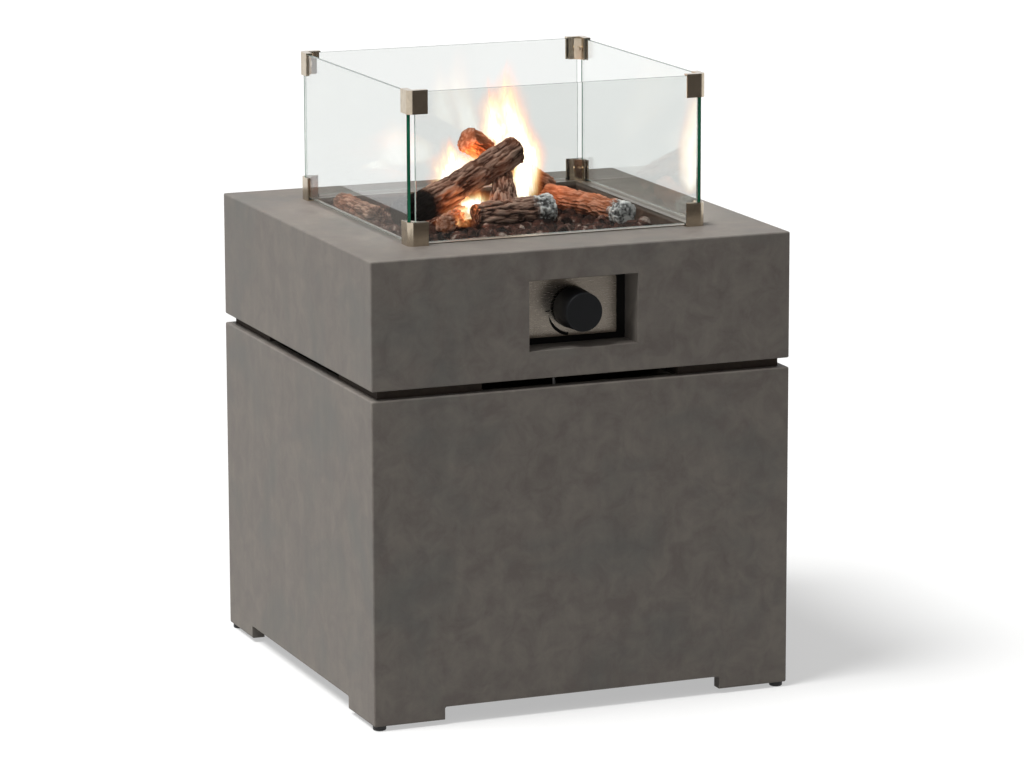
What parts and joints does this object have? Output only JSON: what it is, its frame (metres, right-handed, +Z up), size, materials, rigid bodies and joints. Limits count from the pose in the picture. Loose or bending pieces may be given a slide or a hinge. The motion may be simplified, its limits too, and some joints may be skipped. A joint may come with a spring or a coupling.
{
  "type": "gas fire pit",
  "caption": "Free-standing square gas fire pit: concrete pedestal and burner box, recessed control knob, rear bottle door, glass wind screen, lava bed and ceramic logs.",
  "frame": {"origin": "on the floor, under the middle of the body and its feet", "axes": "+Z up; -Y towards the control window and its knob; +X to the right seen from the knob's side"},
  "size_m": [0.6, 0.6015, 0.8385],
  "materials": {
    "concrete": "fine mottled fibre concrete, dark grey, waxed matte",
    "dark_steel": "black powder coat",
    "black_board": "black board, matte",
    "zinc_steel": "bright zinc",
    "black_plastic": "matte black",
    "knob_plastic": "matte black",
    "brass": "machined brass",
    "cast_alloy": "die cast",
    "pipe_alloy": "drawn tube",
    "brushed_steel": "brushed stainless",
    "burner_steel": "heat-tinted stainless",
    "tray_steel": "stainless, dulled by heat",
    "ceramic": "white glazed ceramic",
    "lead_rubber": "silicone sleeve",
    "copper": "copper capillary",
    "lava": "porous lava stone",
    "ceramic_log": "moulded ceramic with bark relief",
    "glass": "clear toughened glass, polished edges",
    "pad_rubber": "soft black pad"
  },
  "bodies": {
    "fire_pit": {"pedestal_shell": "concrete", "burner_box": "concrete", "foot_screws": "zinc_steel", "wall_screws": "zinc_steel", "box_bolts": "zinc_steel", "panel_screws": "zinc_steel", "shield_screws": "zinc_steel", "return_spring": "zinc_steel", "magnet_unit": "brass", "base_plate": "dark_steel", "tray_clips": "zinc_steel", "inlet_bracket": "zinc_steel", "control_panel": "dark_steel", "corner_spacers": "black_board", "door_pivot_bushes": "black_plastic", "catch_magnet": "black_plastic", "feet": "black_plastic", "spark_igniter": "black_plastic", "box_inserts": "brass", "inlet_connector": "brass", "injector": "brass", "gas_valve": "cast_alloy", "control_fascia": "brushed_steel", "gas_pipe": "pipe_alloy", "inlet_pipe": "pipe_alloy", "mixer_tube": "dark_steel", "burner_ring": "burner_steel", "burner_tray": "tray_steel", "heat_shield": "zinc_steel", "shield_standoffs": "zinc_steel", "lava_grate": "tray_steel", "igniter_bracket": "tray_steel", "spark_electrode": "ceramic", "electrode_lead": "lead_rubber", "thermocouple": "copper", "lava_bed": "lava", "lava_rocks": "lava", "log_forked": "ceramic_log", "log_leaning_front": "ceramic_log", "log_leaning_rear": "ceramic_log", "log_right": "ceramic_log", "log_front_left": "ceramic_log", "log_left_side": "ceramic_log"},
    "push_sleeve": {"thrust_washer": "zinc_steel"},
    "knob_group": {"knob": "knob_plastic", "valve_spindle": "zinc_steel"},
    "gas_plug": {"valve_plug": "brass"},
    "air_shutter": {"air_shutter": "zinc_steel"},
    "rear_door": {"rear_door": "concrete", "door_pivot_pins": "zinc_steel", "door_pull": "black_plastic", "catch_strike": "zinc_steel"},
    "glass_screen": {"glass_front": "glass", "glass_rear": "glass", "glass_left": "glass", "glass_right": "glass", "clamp_angles": "brushed_steel", "clamp_inner_plates": "brushed_steel", "clamp_screws": "brushed_steel", "clamp_pads": "pad_rubber"}
  },
  "joints": [
    {"name": "knob_push", "type": "slide", "parent": "fire_pit", "child": "push_sleeve", "axis": [0, 1, 0], "range_m": [0, 0.004], "stiffness_N_per_m": 800, "deforming": ["return_spring"]},
    {"name": "knob_turn", "type": "hinge", "parent": "push_sleeve", "child": "knob_group", "pos_m": [0, -0.28, 0.543], "axis": [0, -1, 0], "range_deg": [0, 190]},
    {"name": "plug_turn", "type": "hinge", "parent": "fire_pit", "child": "gas_plug", "pos_m": [0, -0.2245, 0.543], "axis": [0, -1, 0], "range_deg": [0, 190]},
    {"name": "shutter_turn", "type": "hinge", "parent": "fire_pit", "child": "air_shutter", "pos_m": [0, 0, 0.53], "axis": [0, 0, 1], "range_deg": [0, 45]},
    {"name": "door_swing", "type": "hinge", "parent": "fire_pit", "child": "rear_door", "pos_m": [0.189, 0.291, 0.235], "axis": [0, 0, -1], "range_deg": [0, 95]},
    {"name": "screen_lift", "type": "slide", "parent": "fire_pit", "child": "glass_screen", "axis": [0, 0, 1], "range_m": [0, 0.13]}
  ],
  "couplings": [
    {"joint": "plug_turn", "follows": "knob_turn", "ratio": 1}
  ]
}
